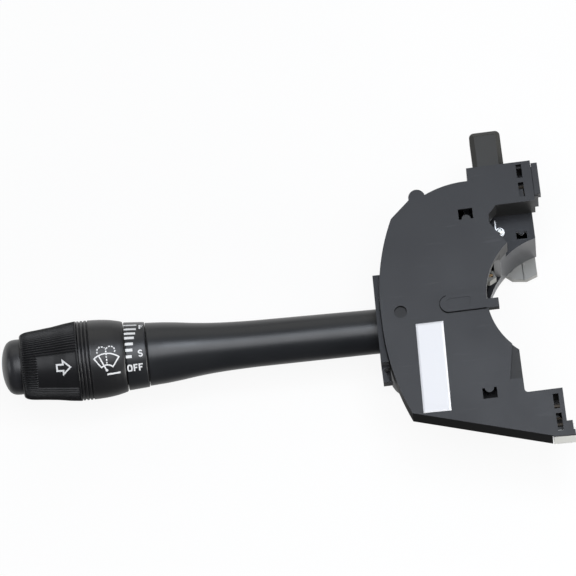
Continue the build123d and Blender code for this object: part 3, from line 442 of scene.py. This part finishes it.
ownFinish = {"rear_plate": rearPaintedLightGrey, "front_cover": coverPaintedShadeFinish}
for nodeName, (body, slotName, width) in softEdges.items():
    piece = softened(nodeName, body, width, cuts=carved.get(nodeName, ()))
    dress(piece, ownFinish.get(nodeName, finishes[slotName]))


def plate(name, corners, low, high, body, slotName):
    piece = newMesh(name, *prismPoints(corners, low, high), body, slotName, smooth=False)
    recalc(piece)
    return dress(piece, finishes[slotName])


# painted shade: dark sheets that close the notch of the gate block and the wire passage of the top block,
# where only shade is seen
shadeSheets = {
    "gateNotchShadeSheet": ([(-79.2, -28.5), (-79.2, -22.0), (-76.1, -22.0), (-76.1, -28.5)], 35.1, 35.9,
                     "housing", "base_grey"),
    "wirePassageShadeSheet": ([(-34.6, 44.0), (-34.6, 47.6), (-25.8, 47.6), (-25.8, 44.0)], 32.2, 33.2,
                       "housing", "cover_black"),
}
for name, settings in shadeSheets.items():
    plate(name, *settings)

hazard = {"x": 22.8, "width": 13.4, "low": 35.9, "high": 47.3, "start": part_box("hazard_button")[0][1] / mm,
          "body": (66.0, 70.0), "tip": 77.0, "bevel": 2.0, "round": 2.1, "least": 0.05, "edge": 0.35,
          "edgeLimit": 28, "bore": 5.2, "boreHalf": 2.7}


def hazardSkin(p):
    # six-sided section along Y: the width follows a quarter circle at the tip, the top falls off at
    # 45 degrees there, and the side bevels run out into it as mitres, to the least width that is left
    tail = p["round"] * np.sin(np.linspace(0, math.pi / 2, 12))
    y = np.concatenate([[p["start"], *p["body"]], p["tip"] - p["round"] + tail])
    past = np.clip(y - (p["tip"] - p["round"]), 0, p["round"])
    w = p["width"] / 2 - p["round"] + np.sqrt(p["round"] ** 2 - past ** 2)
    drop = np.clip(y - (p["tip"] - p["bevel"]), 0, p["bevel"] - p["least"])
    top, b = p["high"] - drop, p["bevel"] - drop
    w = np.maximum(w, p["width"] / 2 - p["round"] + p["least"])
    low = np.full_like(y, p["low"])
    x = np.stack([-w, w, w, w - b, b - w, -w], axis=1) - p["x"]
    z = np.stack([low, low, top - b, top, top, top - b], axis=1)
    pts = np.stack([x, np.repeat(y[:, None], 6, axis=1), z], axis=-1).reshape(-1, 3)
    n = len(y)
    faces = gridFaces(n, 6, closeColumns=True).tolist()
    faces += [list(range(6))[::-1], list(range(6 * n - 6, 6 * n))]
    piece = newMesh("hazardSkin", pts, faces, "hazard_button", "button_grey")
    recalc(piece, 1e-6)
    # bore for the return spring
    half, middle = p["boreHalf"], (p["low"] + p["high"]) / 2
    mouth = rectangle(-p["x"] - half, half - p["x"], p["start"] - 2, p["start"] + p["bore"])
    carve(piece, [(mouth, middle - half, middle + half)])
    roundEdges(piece, p["edge"], p["edgeLimit"])
    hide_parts("hazard_button")
    return dress(piece, finishes["button_grey"])


hazardSkin(hazard)


def pressedSpring():
    # merged copy of the beam spring, attached to the turn carrier
    piece = bpy.data.objects.new("beamSpring", nodes["beam_return_spring"].data.copy())
    bpy.context.scene.collection.objects.link(piece)
    recalc(piece, 2e-6)
    dress(piece, finishes["spring_steel"])
    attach(piece, "turn_carrier")
    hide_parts("beam_return_spring")
    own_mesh(piece)


pressedSpring()
print("housing softened")


# stalk

tube = {
    "outer": [(7.6, 9.7), (18.6, 9.75), (33, 9.9), (51, 10.05), (64, 10.15), (71, 10.35), (77, 10.6),
              (84, 11.05), (90.4, 11.7), (97, 12.6), (103.4, 13.3), (109, 13.65), (111.2, 13.8)],
    "inner": [(111.3, 11.1), (101, 11.0), (82, 7.7), (24, 6.7), (7.6, 6.7)],
}


def stalkSurface(p):
    # profile round the axis: outer line out, inner line back
    q, r = smoothProfile(p["outer"], 120, 6)
    innerQ, innerR = np.array(p["inner"]).T
    return spun("stalkSkin", np.concatenate([q, innerQ]), np.concatenate([r, innerR]), "lever", "stalk_black")


stalkPiece = dress(stalkSurface(tube), finishes["stalk_black"])
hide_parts("stalk_tube")


# scale ring and its white bars

ring = {
    "profile": [(111.5, 11.0), (111.5, 13.8), (111.65, 14.15), (112.1, 14.25), (120.0, 14.85), (120.5, 14.8),
                (120.6, 14.5), (120.6, 11.0)],
    "bars": [(48.2, 5.8), (35.2, 5.4), (24.6, 4.9), (15.4, 4.2), (4.1, 3.6), (-6.7, 3.1), (-17.7, 2.6)],
    "barWidth": 1.25,
    "barStart": 120.5,
}
ringPiece = spun("scaleRingSkin", *np.array(ring["profile"]).T, "lever", "stalk_black")
dress(ringPiece, finishes["stalk_black"])
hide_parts("scale_ring")


def ringRadius(q):
    # the cone between the ring's rounded rims
    return np.interp(q, *np.array(ring["profile"][3:5]).T)


def wrapPatch(name, q0, q1, middle, width, radius, body, material, lift=0.03):
    # a thin patch that lies on the round: q along the axis, width mm of arc about the middle angle
    q = np.linspace(q0, q1, 6)[:, None]
    across = np.linspace(-width / 2, width / 2, 5)[None, :]
    r = radius(q) + lift
    pts = onStalk(q + 0 * across, r + 0 * across, math.radians(middle) + across / r)
    piece = newMesh(name, pts.reshape(-1, 3), gridFaces(6, 5), body, "stalk_black")
    return dress(piece, material)


for k, (angle, length) in enumerate(ring["bars"]):
    wrapPatch(f"scaleBar{k + 1}", ring["barStart"] - length, ring["barStart"], angle, ring["barWidth"],
              ringRadius, "lever", printWhite)
print("stalk and scale ring made")


# wiper knob

collar = {
    "outer": [(121.0, 15.0), (121.15, 15.25), (122.4, 15.65), (125.6, 16.4), (128.2, 16.8), (130.8, 17.05),
              (133.4, 17.2), (135.6, 17.25)],
    "land": (135.7, 17.3),
    "grooves": (136.0, 137.6, 139.2),
    "grooveMiddle": 0.4,
    "grooveHalf": 0.5,
    "grooveDepth": 0.55,
    "end": 140.8,
    "inner": [(140.8, 15.3), (131.5, 15.1), (131.5, 13.4), (121.0, 13.4)],
}


def collarSurface(p):
    # outer line, then the land with its grooves, each a squared sine deep, then the inner line back
    q, r = smoothProfile(p["outer"], 60, 2)
    tailQ = np.linspace(p["land"][0], p["end"], 90)
    tailR = np.full_like(tailQ, p["land"][1])
    for g in p["grooves"]:
        dip = np.clip(1 - np.abs(tailQ - g - p["grooveMiddle"]) / p["grooveHalf"], 0, 1)
        tailR -= p["grooveDepth"] * np.sin(dip * math.pi / 2) ** 2
    innerQ, innerR = np.array(p["inner"]).T
    return spun("collarSkin", np.concatenate([q, tailQ, innerQ]), np.concatenate([r, tailR, innerR]),
                "wiper_knob", "knob_black", steps=180)


collarPiece = dress(collarSurface(collar), finishes["knob_black"])


def collarRadius(q):
    outerQ, outerR = np.array(collar["outer"][1:]).T
    return np.interp(q, outerQ, outerR)


grip = {
    "outer": [(141.1, 17.1), (141.3, 17.45), (143.9, 17.15), (146.5, 16.85), (149.1, 16.4), (151.7, 15.98),
              (154.3, 15.7), (156.9, 15.4), (159.5, 15.15), (162.2, 14.9), (163.6, 14.7), (165.0, 14.3),
              (166.0, 13.7), (166.3, 13.2)],
    "inner": [(166.3, 12.25), (152.6, 12.25), (150.0, 13.6), (142.8, 15.4), (141.1, 15.4)],
    "ribs": 82,
    "depth": 0.75,
    "ribStart": (141.5, 0.6),  # where the ribs begin, and over how many mm
    "ribStop": (165.9, 1.2),
    "panel": (-58.0, -3.0),
    "panelEnd": 159.3,
    "panelDip": 0.28,
    "panelFade": (1.5, 0.5),  # degrees at its sides, mm at its end
}


def gripSurface(p):
    # radius = profile less a rounded rib wave; the wave fades out at both ends and in the smooth
    # panel, which lies a little lower
    q, r = smoothProfile(p["outer"], 90, 2)
    angle = np.linspace(0, 2 * math.pi, p["ribs"] * 10, endpoint=False)
    wave = (0.5 + 0.5 * np.cos(angle * p["ribs"])) ** 0.8
    turn = (np.degrees(angle) + 180) % 360 - 180
    middle, half = sum(p["panel"]) / 2, (p["panel"][1] - p["panel"][0]) / 2
    side = np.clip((np.abs(turn - middle) - half) / p["panelFade"][0], 0, 1)
    along = np.clip((q - p["panelEnd"]) / p["panelFade"][1], 0, 1)
    ribbed = np.maximum(side[None, :], along[:, None])
    (start, rise), (stop, fall) = p["ribStart"], p["ribStop"]
    ends = np.clip((q - start) / rise, 0, 1) * np.clip((stop - q) / fall, 0, 1)
    depth = p["depth"] * ends[:, None] * ribbed * (1 - wave[None, :])
    panelDip = p["panelDip"] * (1 - ribbed) * ends[:, None]
    outer = onStalk(q[:, None], r[:, None] - depth - panelDip, angle[None, :])
    innerQ, innerR = np.array(p["inner"]).T
    inner = onStalk(innerQ[:, None], innerR[:, None], angle[None, :])
    pts = np.concatenate([outer, inner])
    faces = gridFaces(len(pts), len(angle), closeRows=True, closeColumns=True)
    piece = newMesh("gripSkin", pts.reshape(-1, 3), faces, "wiper_knob", "knob_black")
    recalc(piece)
    return piece


gripPiece = dress(gripSurface(grip), gripSatin)
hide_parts("knob_collar")
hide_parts("wiper_grip")

button = {
    "rim": [(155.6, 10.7), (155.6, 12.0)],
    "crown": [(168.0, 12.05), (169.6, 11.95), (171.0, 11.5), (172.2, 10.6), (173.2, 9.0), (174.0, 7.0),
              (174.6, 4.4), (174.85, 2.0), (174.9, 0.02)],
    "inside": [(171.0, 0.02), (171.0, 10.7)],
}
crown = np.stack(smoothProfile(button["crown"], 60, 3), axis=1)
buttonQ, buttonR = np.concatenate([button["rim"], crown, button["inside"]]).T
buttonPiece = spun("washerCap", buttonQ, buttonR, "washer_button", "knob_black")
dress(buttonPiece, capPaintedLightSatin)
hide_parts("washer_button")
print("knob made")


# prints on the knob: index line, washer sign, outline arrow

def wrapShape(name, outlines, q, angle, radius, body, lift=0.06):
    # flat closed outlines in mm (right, up), filled and laid on the round
    bm = bmesh.new()
    for outline in outlines:
        vs = [bm.verts.new((x, y, 0)) for x, y in outline]
        for a, b in zip(vs, vs[1:] + vs[:1]):
            bm.edges.new((a, b))
    bmesh.ops.triangle_fill(bm, use_beauty=True, edges=bm.edges)
    bmesh.ops.subdivide_edges(bm, edges=bm.edges, cuts=2, use_grid_fill=True)
    pts = np.array([v.co[:] for v in bm.verts])
    bm.verts.index_update()
    faces = [[v.index for v in f.verts] for f in bm.faces]
    bm.free()
    r = radius(q - pts[:, 0]) + lift
    local = onStalk(q - pts[:, 0], r, math.radians(angle) + pts[:, 1] / r)
    piece = newMesh(name, local, faces, body, "knob_black", smooth=False)
    return dress(piece, printWhite)


def gripPanelRadius(q):
    # every second point of the grip's line, less the panel's dip
    return np.interp(q, *np.array(grip["outer"][1:10:2]).T) - grip["panelDip"]


def band(line, width):
    # a stripe along a broken line: the line moved to both sides by half the width
    pts = np.array(line, float)
    step = np.gradient(pts, axis=0)
    side = np.stack([-step[:, 1], step[:, 0]], axis=1)
    side /= np.linalg.norm(side, axis=1)[:, None]
    left, right = pts + side * width / 2, pts - side * width / 2
    return [tuple(p) for p in left] + [tuple(p) for p in right[::-1]]


index = {"start": 123.4, "stop": 129.2, "angle": -41.0, "width": 0.85}
wrapPatch("indexLine", index["start"], index["stop"], index["angle"], index["width"], collarRadius,
          "wiper_knob", printWhite)

sign = {
    "q": 128.9, "angle": -15.5, "line": 0.6, "centre": -6.8, "outer": 8.6, "inner": 3.6,
    "blade": [(-3.3, 1.1), (-1.9, -2.1), (-0.5, -5.3)],
    "hub": (-0.3, -5.6), "hubRadius": 0.6,
    "spray": [(0, 4.3), (0, -2.6)], "sprayRadius": 1.95, "sprayTop": 2.9,
    "dash": 0.62, "gap": 0.38, "dashWidth": 0.58,
}


def sector(p, grow):
    # closed outline of the windscreen, its sides moved out by grow
    wide, narrow = 39 + math.degrees(grow / p["outer"]), 44 + math.degrees(grow / p["inner"])
    top = arcPoints(p["outer"] + grow, 90 + wide, 90 - wide, 15, cy=p["centre"])
    return top + arcPoints(p["inner"] - grow, 90 - narrow, 90 + narrow, 11, cy=p["centre"])


def dashes(p, line, marks):
    # every second stretch of a line of points, as bands
    pts = np.array(line, float)
    at = np.linspace(0, 1, len(pts))
    parts = []
    for k in range(marks):
        t = np.linspace(k, k + p["dash"], 4) / (marks - p["gap"])
        stretch = np.stack([np.interp(t, at, pts[:, 0]), np.interp(t, at, pts[:, 1])], axis=1)
        parts.append(band(stretch, p["dashWidth"]))
    return parts


def washerSign(p):
    # windscreen, wiper blade with its hub and dashed sprays, the usual washer and wiper sign
    half = p["line"] / 2
    parts = [sector(p, half), sector(p, -half)]
    wrapShape("signScreen", parts, p["q"], p["angle"], collarRadius, "wiper_knob")
    blade = band(p["blade"], p["line"])
    wrapShape("signBlade", [blade], p["q"], p["angle"], collarRadius, "wiper_knob", lift=0.05)
    hub = arcPoints(p["hubRadius"], 0, 330, 12, *p["hub"])
    wrapShape("signHub", [hub], p["q"], p["angle"], collarRadius, "wiper_knob")
    sprays = dashes(p, p["spray"], 6)
    r = p["sprayRadius"]
    for side in (-1, 1):
        arc = arcPoints(r, 90 - side * 112, 90 + side * 60, 13, cx=side * r, cy=p["sprayTop"])
        sprays += dashes(p, arc, 5)
    wrapShape("signSprays", sprays, p["q"], p["angle"], collarRadius, "wiper_knob")


washerSign(sign)


def letterF(x, width, height, line):
    bar, arm = height * 0.40, width * 0.86
    corners = [(0, 0), (line, 0), (line, bar), (arm, bar), (arm, bar + line), (line, bar + line),
               (line, height - line), (width, height - line), (width, height), (0, height)]
    return [(x + a, b - height / 2) for a, b in corners]


def letterO(x, width, height, line):
    # superellipse ring: the cosine and sine are drawn out to a power below one
    loops = []
    for less in (0, line):
        t = np.linspace(0, 2 * math.pi, 28, endpoint=False)
        a = (width / 2 - less) * np.sign(np.cos(t)) * np.abs(np.cos(t)) ** 0.7
        b = (height / 2 - less) * np.sign(np.sin(t)) * np.abs(np.sin(t)) ** 0.7
        loops.append(list(zip((x + width / 2 + a).tolist(), b.tolist())))
    return loops


def letterS(width, height, line):
    # two three-quarter arcs that meet in the middle, as one stripe
    r = (height - line) / 4
    upper = arcPoints(r, 20, 270, 14, cy=r)
    lower = arcPoints(r, 90, -160, 14, cy=-r)
    wide = (width - line) / (2 * r)
    return band([(wide * x, y) for x, y in upper + lower[1:]], line)


# places are mm along the stalk and degrees round it
letters = {"height": 3.3, "line": 0.68, "slowSize": (2.1, 3.2), "slowLine": 0.62,
           "fastAt": (113.0, 41.5), "slowAt": (114.1, -13.4), "offAt": (117.0, -37.4)}
h, w = letters["height"], letters["line"]
fast = [letterF(-0.9, 1.75, h, w)]
slow = [letterS(*letters["slowSize"], letters["slowLine"])]
off = letterO(-3.4, 2.35, h, w) + [letterF(-0.65, 1.85, h, w), letterF(1.6, 1.85, h, w)]
wrapShape("letterFast", fast, *letters["fastAt"], ringRadius, "lever")
wrapShape("letterSlow", slow, *letters["slowAt"], ringRadius, "lever")
wrapShape("wordOff", off, *letters["offAt"], ringRadius, "lever")

arrow = {"q": 148.2, "angle": -24.2, "tail": 2.9, "shaft": 1.75, "neck": -0.2, "half": 3.8, "head": 3.9,
         "line": 0.8}


def outlineArrow(p):
    # outline of an arrow that points along the stalk towards the housing
    tail, shaft, neck, half, head, w = (p[k] for k in ("tail", "shaft", "neck", "half", "head", "line"))
    outer = [(-tail, -shaft), (neck, -shaft), (neck, -half), (head, 0), (neck, half), (neck, shaft),
             (-tail, shaft)]
    inner = [(w - tail, w - shaft), (neck + w, w - shaft), (neck + w, 2 * w - half), (head - 1.4 * w, 0),
             (neck + w, half - 2 * w), (neck + w, shaft - w), (w - tail, shaft - w)]
    wrapShape("pushArrow", [outer, inner], p["q"], p["angle"], gripPanelRadius, "wiper_knob")


outlineArrow(arrow)
print("prints laid on the knob")


# bare sticker on the cover

sticker = {"corners": [(-63.0, -7.1), (-51.0, -7.2), (-52.4, -47.7), (-64.5, -47.4)], "level": 50.02,
           "thick": 0.1, "endCurl": 0.10, "sideCurl": 0.04}


def stickerSheet(p):
    # bilinear patch between the four corners, lifted a little at its lower end and its left side,
    # given a thickness
    u = np.linspace(0, 1, 13)[None, :, None]
    v = np.linspace(0, 1, 41)[:, None, None]
    a, b, c, d = [np.array(corner) for corner in p["corners"]]
    flat = (a * (1 - u) + b * u) * (1 - v) + (d * (1 - u) + c * u) * v
    lift = p["endCurl"] * np.clip(v - 0.93, 0, 1) / 0.07 + p["sideCurl"] * np.clip(0.05 - u, 0, 1) / 0.05
    z = p["level"] + p["thick"] + np.broadcast_to(lift, flat.shape[:2] + (1,))
    pts = np.concatenate([flat, z], axis=-1).reshape(-1, 3)
    piece = newMesh("bareSticker", pts, gridFaces(41, 13), "housing", "connector_white")
    recalc(piece)
    solid = piece.modifiers.new("paperThickness", "SOLIDIFY")
    solid.thickness = p["thick"] * mm
    solid.offset = -1
    return dress(piece, stickerWhite)


stickerSheet(sticker)
print("sticker laid")


# camera with the photo's roll, tilt and framing

shot = {"scale": 0.433, "roll": 7.2, "tilt": 17.0, "axisPixel": (557.9, 290.4), "level": 50.0,
        "distance": 5000.0, "pixels": 576, "sensor": 36}


def photoCamera(p):
    roll, tilt = math.radians(p["roll"]), math.radians(p["tilt"])
    right = Vector((math.cos(roll), -math.cos(tilt) * math.sin(roll), -math.sin(tilt) * math.sin(roll)))
    up = Vector((math.sin(roll), math.cos(tilt) * math.cos(roll), math.sin(tilt) * math.cos(roll)))
    back = right.cross(up)
    a = (p["pixels"] / 2 - p["axisPixel"][0]) * p["scale"]
    b = -(p["pixels"] / 2 - p["axisPixel"][1]) * p["scale"]
    target = Vector((0, 0, p["level"])) + right * a + up * b
    data = bpy.data.cameras.new("photoView")
    data.sensor_width = p["sensor"]
    data.lens = p["sensor"] * p["distance"] / (p["pixels"] * p["scale"])
    data.clip_start, data.clip_end = 0.1, 20
    camera = bpy.data.objects.new("photoView", data)
    bpy.context.scene.collection.objects.link(camera)
    turn = Matrix((right, up, back)).transposed().to_4x4()
    camera.matrix_world = Matrix.Translation((target + back * p["distance"]) * mm) @ turn
    bpy.context.scene.camera = camera


photoCamera(shot)


# floor and light

ground = {"half": 6.0, "level": -0.0004, "fade": (-45, 5)}  # metres, fade in mm along Y


def floorSheet(p):
    # one square just under the object, so that the two don't share a plane
    mesh = bpy.data.meshes.new("floorSheet")
    s = p["half"]
    corners = [(x, y, p["level"]) for x, y in rectangle(-s, s, -s, s)]
    mesh.from_pydata(corners, [], [(0, 1, 2, 3)])
    floor = bpy.data.objects.new("floorSheet", mesh)
    bpy.context.scene.collection.objects.link(floor)
    mat = bpy.data.materials.new("paleFloor")
    mat.use_nodes = True
    tree = mat.node_tree
    shader = tree.nodes["Principled BSDF"]
    shader.inputs["Roughness"].default_value = 0.9
    shader.inputs["Specular IOR Level"].default_value = 0.1
    path = addNode(tree, "ShaderNodeLightPath")
    tone = addNode(tree, "ShaderNodeMix", data_type="RGBA")
    tone.inputs["A"].default_value = (0.07, 0.07, 0.07, 1)
    tone.inputs["B"].default_value = (0.82, 0.82, 0.82, 1)
    tree.links.new(path.outputs["Is Camera Ray"], tone.inputs["Factor"])
    tree.links.new(tone.outputs["Result"], shader.inputs["Base Color"])
    # white to the camera; painted reflection: the floor glows white in reflections above the arm and is dark
    # below it
    coord = addNode(tree, "ShaderNodeTexCoord")
    split = addNode(tree, "ShaderNodeSeparateXYZ")
    fade = addNode(tree, "ShaderNodeMapRange")
    fade.inputs["From Min"].default_value = p["fade"][0] * mm
    fade.inputs["From Max"].default_value = p["fade"][1] * mm
    glossy = addNode(tree, "ShaderNodeMath", operation="MULTIPLY")
    share = addNode(tree, "ShaderNodeMath", operation="MULTIPLY_ADD")
    share.inputs[1].default_value = 0.9
    glow = addNode(tree, "ShaderNodeEmission")
    mix = addNode(tree, "ShaderNodeMixShader")
    tree.links.new(coord.outputs["Object"], split.inputs["Vector"])
    tree.links.new(split.outputs["Y"], fade.inputs["Value"])
    tree.links.new(fade.outputs["Result"], glossy.inputs[0])
    tree.links.new(path.outputs["Is Glossy Ray"], glossy.inputs[1])
    tree.links.new(path.outputs["Is Camera Ray"], share.inputs[0])
    tree.links.new(glossy.outputs["Value"], share.inputs[2])
    tree.links.new(share.outputs["Value"], mix.inputs["Fac"])
    tree.links.new(shader.outputs["BSDF"], mix.inputs[1])
    tree.links.new(glow.outputs["Emission"], mix.inputs[2])
    tree.links.new(mix.outputs["Shader"], tree.nodes["Material Output"].inputs["Surface"])
    mesh.materials.append(mat)


middle = (-0.11, 0.01, 0.03)
lamps = {
    "keySoftbox": ((-0.10, -0.09, 0.92), middle, (0.72, 0.60), 5.8, (0.94, 0.96, 1.0)),
    "armSoftbox": ((0.06, 0.13, 0.75), (0, -0.05, 0.05), (0.26, 0.22), 1.3, (0.80, 0.88, 1.0)),
    "topSoftbox": ((-0.25, 1.0, 0.60), middle, (1.3, 0.9), 3.6, (1.0, 0.99, 0.95)),
    "rightSoftbox": ((0.90, -0.25, 0.16), middle, (0.5, 0.3), 9.0, (1.0, 1.0, 0.98)),
    "lowSoftbox": ((0.34, -0.48, 0.16), (0, -0.06, 0.04), (0.2, 0.15), 2.1, (1.0, 1.0, 0.98)),
    "leftSoftbox": ((-1.1, 0.0, 0.35), middle, (0.5, 0.4), 1.8, (0.92, 0.95, 1.0)),
}


def areaLamp(name, place, aim, size, power, colour):
    # place, aim and size in metres, power in watts
    data = bpy.data.lights.new(name, "AREA")
    data.color = colour
    data.shape = "RECTANGLE"
    data.size, data.size_y = size
    data.energy = power
    lamp = bpy.data.objects.new(name, data)
    bpy.context.scene.collection.objects.link(lamp)
    lamp.location = place
    lamp.rotation_euler = (Vector(aim) - Vector(place)).to_track_quat("-Z", "Y").to_euler()


def worldLight(colour, strength):
    world = bpy.data.worlds.new("studioAir")
    bpy.context.scene.world = world
    world.use_nodes = True
    tree = world.node_tree
    plain = tree.nodes["Background"]
    plain.inputs["Color"].default_value = (*colour, 1)
    plain.inputs["Strength"].default_value = strength
    white = addNode(tree, "ShaderNodeBackground")
    path = addNode(tree, "ShaderNodeLightPath")
    mix = addNode(tree, "ShaderNodeMixShader")
    tree.links.new(path.outputs["Is Camera Ray"], mix.inputs["Fac"])
    tree.links.new(plain.outputs["Background"], mix.inputs[1])
    tree.links.new(white.outputs["Background"], mix.inputs[2])
    tree.links.new(mix.outputs["Shader"], tree.nodes["World Output"].inputs["Surface"])


floorSheet(ground)
for name, settings in lamps.items():
    areaLamp(name, *settings)
worldLight((0.95, 0.97, 1.0), 0.05)
bpy.context.scene.view_settings.view_transform = "Standard"
print("camera, floor and light set")
